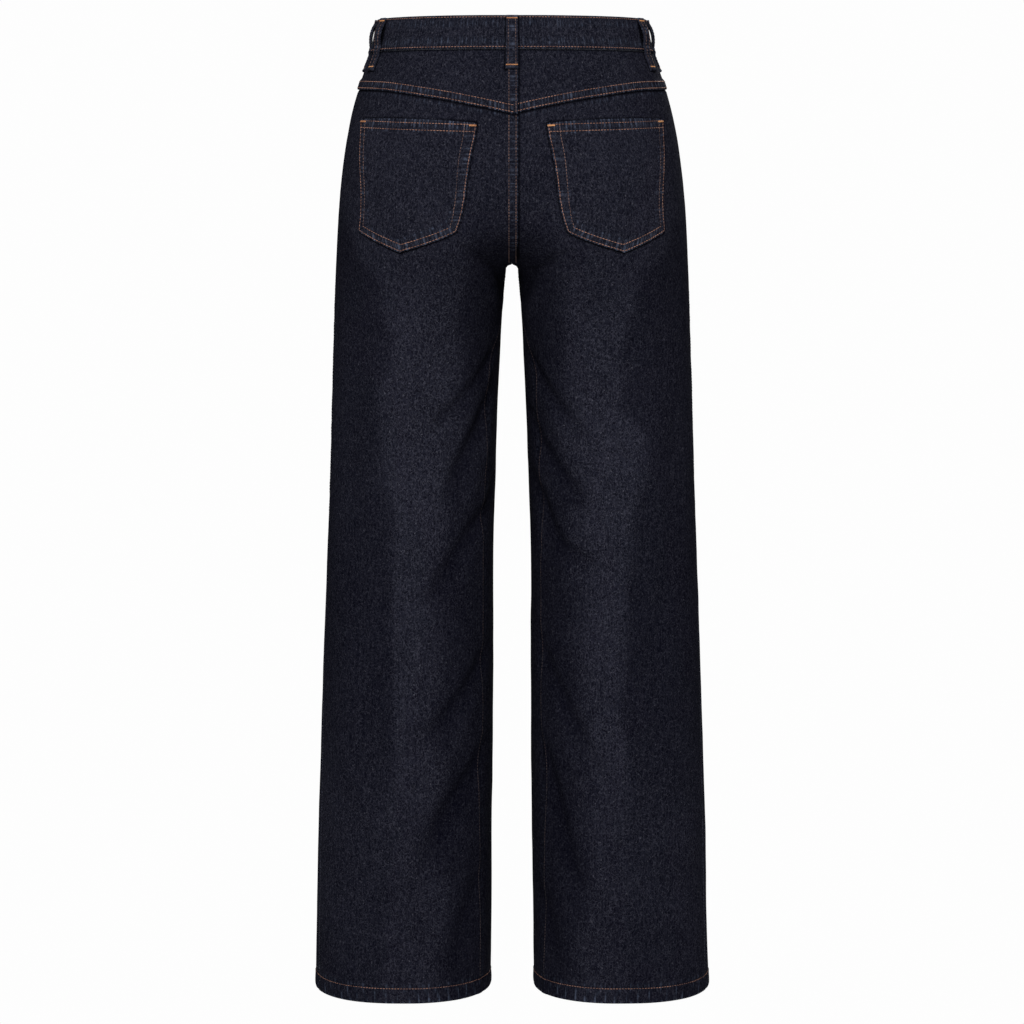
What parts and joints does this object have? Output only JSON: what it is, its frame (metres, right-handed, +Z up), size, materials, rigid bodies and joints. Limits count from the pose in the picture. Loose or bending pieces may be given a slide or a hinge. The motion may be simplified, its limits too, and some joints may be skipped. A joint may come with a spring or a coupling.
{
  "type": "wide leg jeans",
  "caption": "Dark indigo wide leg jeans, high waisted, with a back yoke, patch back pockets, belt loops and a closed fly, filled out as if worn and open at waist and hems.",
  "frame": {"origin": "centre of the waist opening at half the waistband's height, where a wearer or a form holds the garment", "axes": "+Z up along the legs towards the waist, -Y towards the front of the garment, +X towards the wearer's left"},
  "size_m": [0.4316, 0.2503, 1.0553],
  "materials": {
    "denim": "unwashed dark indigo twill, matt, with fine pale flecks",
    "denim_trim": "the same twill, matt",
    "button_metal": "satin antique copper colour"
  },
  "bodies": {
    "root": {"waistband": "denim", "yoke_left": "denim", "yoke_right": "denim", "back_left": "denim", "back_right": "denim", "front_left": "denim", "front_right": "denim", "front_facing_left": "denim", "front_facing_right": "denim", "fly_shield": "denim", "back_pocket_left": "denim_trim", "back_pocket_right": "denim_trim", "belt_loop_back": "denim_trim", "belt_loop_side_left": "denim_trim", "belt_loop_side_right": "denim_trim", "belt_loop_front_left": "denim_trim", "belt_loop_front_right": "denim_trim", "waist_button": "button_metal"}
  },
  "joints": []
}
